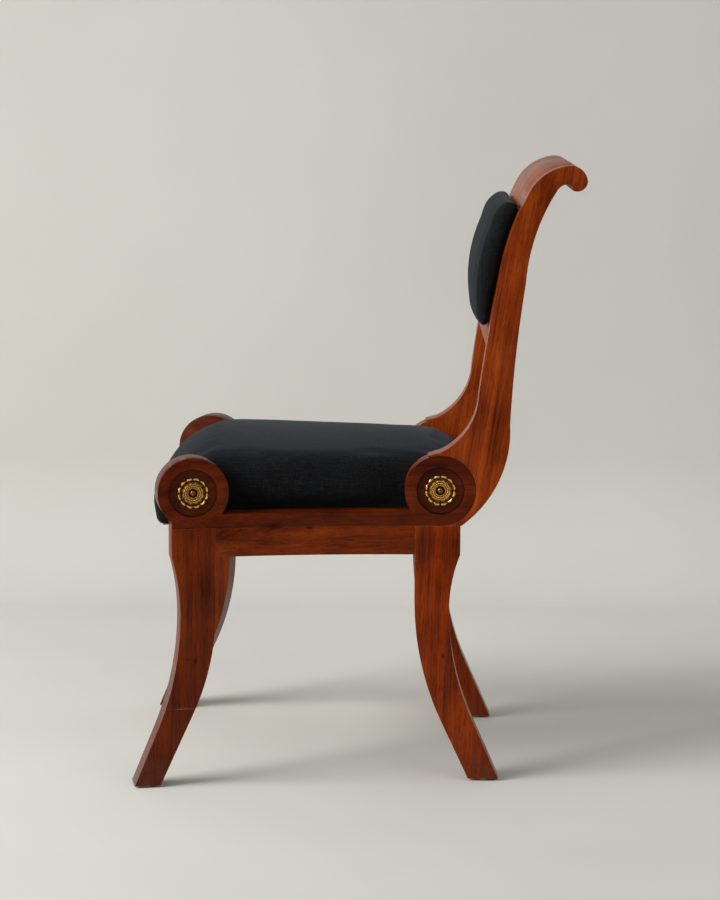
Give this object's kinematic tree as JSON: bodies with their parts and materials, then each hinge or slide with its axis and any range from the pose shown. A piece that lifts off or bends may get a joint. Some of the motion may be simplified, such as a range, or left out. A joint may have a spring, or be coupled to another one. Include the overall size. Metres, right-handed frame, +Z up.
{
  "type": "klismos side chair",
  "caption": "Klismos side chair with sabre legs, bent sides ending in round scrolls with rosettes, a rolled crest and an upholstered drop-in seat and back pad.",
  "frame": {"origin": "on the floor, below the middle of the chair's bounding box", "axes": "+Z up, +X to the sitter's left, the chair faces -Y"},
  "size_m": [0.506, 0.635, 0.8736],
  "materials": {
    "frame_wood": "red-brown polished hardwood",
    "hidden_wood": "plain unpolished hardwood",
    "brass": "aged stamped brass",
    "pin_metal": "dark polished round head",
    "glide_metal": "plain worn metal",
    "screw_steel": "plain steel",
    "black_linen": "black woven linen",
    "stuffing": "curled hair and wadding",
    "jute": "woven jute",
    "dust_cloth": "thin black cloth"
  },
  "bodies": {
    "root": {"back_cover": "black_linen", "back_dowels_left": "hidden_wood", "back_dowels_right": "hidden_wood", "back_panel": "frame_wood", "back_stile_left": "frame_wood", "back_stile_right": "frame_wood", "back_stuffing": "stuffing", "corner_block_front_left": "hidden_wood", "corner_block_front_right": "hidden_wood", "corner_block_rear_left": "hidden_wood", "corner_block_rear_right": "hidden_wood", "crest_rail": "frame_wood", "front_glide_left": "glide_metal", "front_glide_right": "glide_metal", "front_leg_left": "frame_wood", "front_leg_right": "frame_wood", "front_rail": "frame_wood", "lower_back_rail": "frame_wood", "outside_back_cover": "black_linen", "rear_glide_left": "glide_metal", "rear_glide_right": "glide_metal", "rear_leg_left": "frame_wood", "rear_leg_right": "frame_wood", "rear_rail": "frame_wood", "rosette_front_left": "brass", "rosette_front_right": "brass", "rosette_pins_left": "pin_metal", "rosette_pins_right": "pin_metal", "rosette_rear_left": "brass", "rosette_rear_right": "brass", "scroll_dowels_left": "hidden_wood", "scroll_dowels_right": "hidden_wood", "scroll_rail_left": "frame_wood", "scroll_rail_right": "frame_wood", "seat_cover": "black_linen", "seat_dust_cover": "dust_cloth", "seat_frame_front": "hidden_wood", "seat_frame_left": "hidden_wood", "seat_frame_rear": "hidden_wood", "seat_frame_right": "hidden_wood", "seat_hessian": "jute", "seat_screws_left": "screw_steel", "seat_screws_right": "screw_steel", "seat_stuffing": "stuffing", "seat_webbing_crosswise": "jute", "seat_webbing_lengthwise": "jute", "side_rail_left": "frame_wood", "side_rail_right": "frame_wood"}
  },
  "joints": []
}
